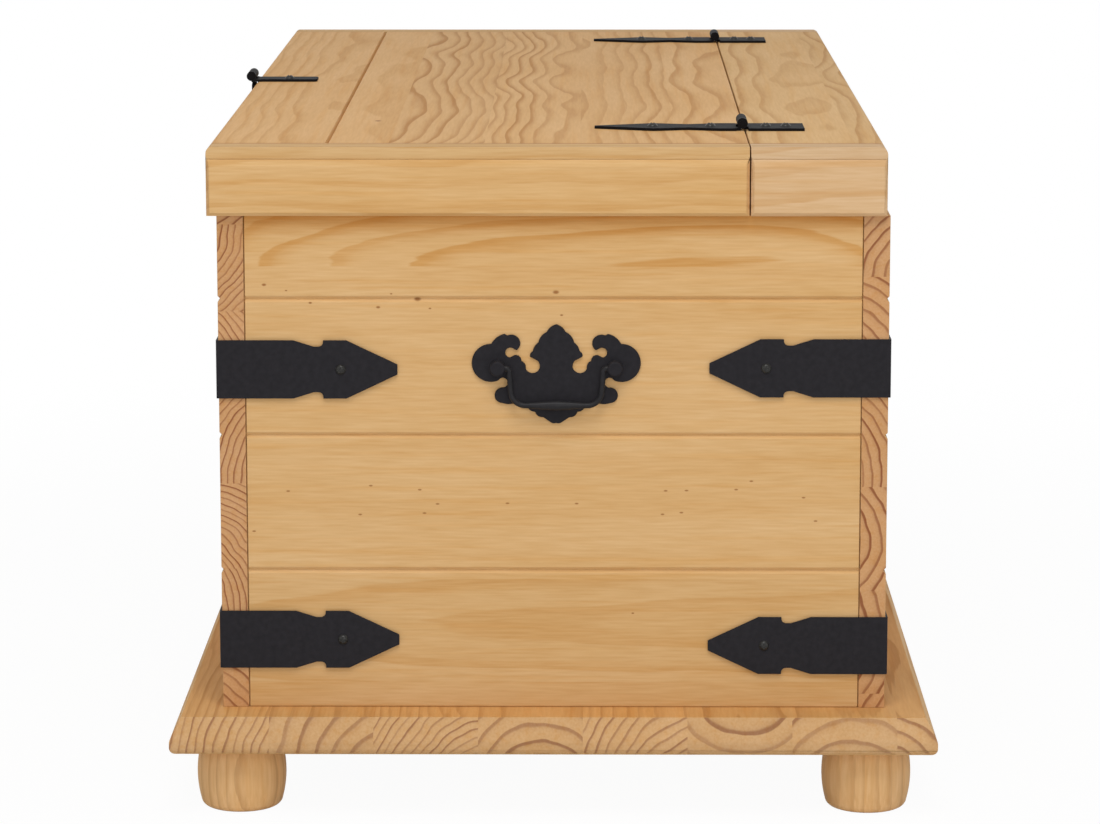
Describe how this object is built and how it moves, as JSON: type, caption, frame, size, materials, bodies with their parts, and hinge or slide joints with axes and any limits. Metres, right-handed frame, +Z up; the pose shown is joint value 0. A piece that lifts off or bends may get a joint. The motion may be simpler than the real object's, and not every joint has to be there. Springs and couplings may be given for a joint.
{
  "type": "lidded storage chest",
  "caption": "Pine storage chest with a hinged lid, a fixed back rail, a bevelled base board on turned feet, black strap hinges, a hasp, corner irons and drop handles.",
  "frame": {"origin": "on the floor under the middle of the base board", "axes": "+X along the chest to its right end, -Y towards the front with the hasp, +Z up"},
  "size_m": [0.972, 0.53, 0.473],
  "materials": {
    "pine": "satin lacquer over honey-coloured pine",
    "beech": "plain",
    "black_iron": "satin black",
    "plated_steel": "zinc plated"
  },
  "bodies": {
    "carcass": {"back_panel": "pine", "corner_block_back_left": "pine", "corner_block_back_right": "pine", "corner_block_front_left": "pine", "corner_block_front_right": "pine", "corner_dowels": "beech", "corner_iron_lower_back_left": "black_iron", "corner_iron_lower_back_right": "black_iron", "corner_iron_lower_front_left": "black_iron", "corner_iron_lower_front_right": "black_iron", "corner_iron_screws": "black_iron", "corner_iron_upper_back_left": "black_iron", "corner_iron_upper_back_right": "black_iron", "corner_iron_upper_front_left": "black_iron", "corner_iron_upper_front_right": "black_iron", "end_panel_left": "pine", "end_panel_right": "pine", "foot_back_left": "pine", "foot_back_right": "pine", "foot_front_left": "pine", "foot_front_right": "pine", "foot_studs": "plated_steel", "front_panel": "pine", "handle_nuts": "plated_steel", "handle_plate_left": "black_iron", "handle_plate_right": "black_iron", "handle_posts_left": "black_iron", "handle_posts_right": "black_iron", "hasp_eye_plate": "black_iron", "hasp_eye_screws": "black_iron", "hinge_leaf_left": "black_iron", "hinge_leaf_right": "black_iron", "hinge_leaf_screws": "black_iron", "hinge_pin_left": "black_iron", "hinge_pin_right": "black_iron", "plinth_board": "pine", "plinth_screws": "plated_steel", "rail_back_apron": "pine", "rail_dowels": "beech", "rail_end_cap_left": "pine", "rail_end_cap_right": "pine", "rail_front_batten": "pine", "rail_panel": "pine"},
    "lid": {"lid_dowels": "beech", "lid_end_cap_left": "pine", "lid_end_cap_right": "pine", "lid_front_apron": "pine", "lid_front_board": "pine", "lid_panel": "pine", "lid_rear_batten": "pine", "hinge_strap_left": "black_iron", "hinge_strap_right": "black_iron", "hinge_strap_screws": "black_iron", "hasp_leaf": "black_iron", "hasp_pin": "black_iron", "hasp_leaf_screw": "black_iron"},
    "hasp_swing": {"hasp_arm": "black_iron"},
    "bail_left_swing": {"bail_left": "black_iron"},
    "bail_right_swing": {"bail_right": "black_iron"}
  },
  "joints": [
    {"name": "lid_hinge", "type": "hinge", "parent": "carcass", "child": "lid", "pos_m": [0, 0.1321, 0.4693], "axis": [-1, 0, 0], "range_deg": [0, 105]},
    {"name": "hasp_hinge", "type": "hinge", "parent": "lid", "child": "hasp_swing", "pos_m": [0, -0.2395, 0.4686], "axis": [-1, 0, 0], "range_deg": [0, 170]},
    {"name": "bail_right_hinge", "type": "hinge", "parent": "carcass", "child": "bail_right_swing", "pos_m": [0.4572, 0.002, 0.3122], "axis": [0, -1, 0], "range_deg": [0, 95]},
    {"name": "bail_left_hinge", "type": "hinge", "parent": "carcass", "child": "bail_left_swing", "pos_m": [-0.4572, 0.002, 0.3122], "axis": [0, 1, 0], "range_deg": [0, 95]}
  ]
}
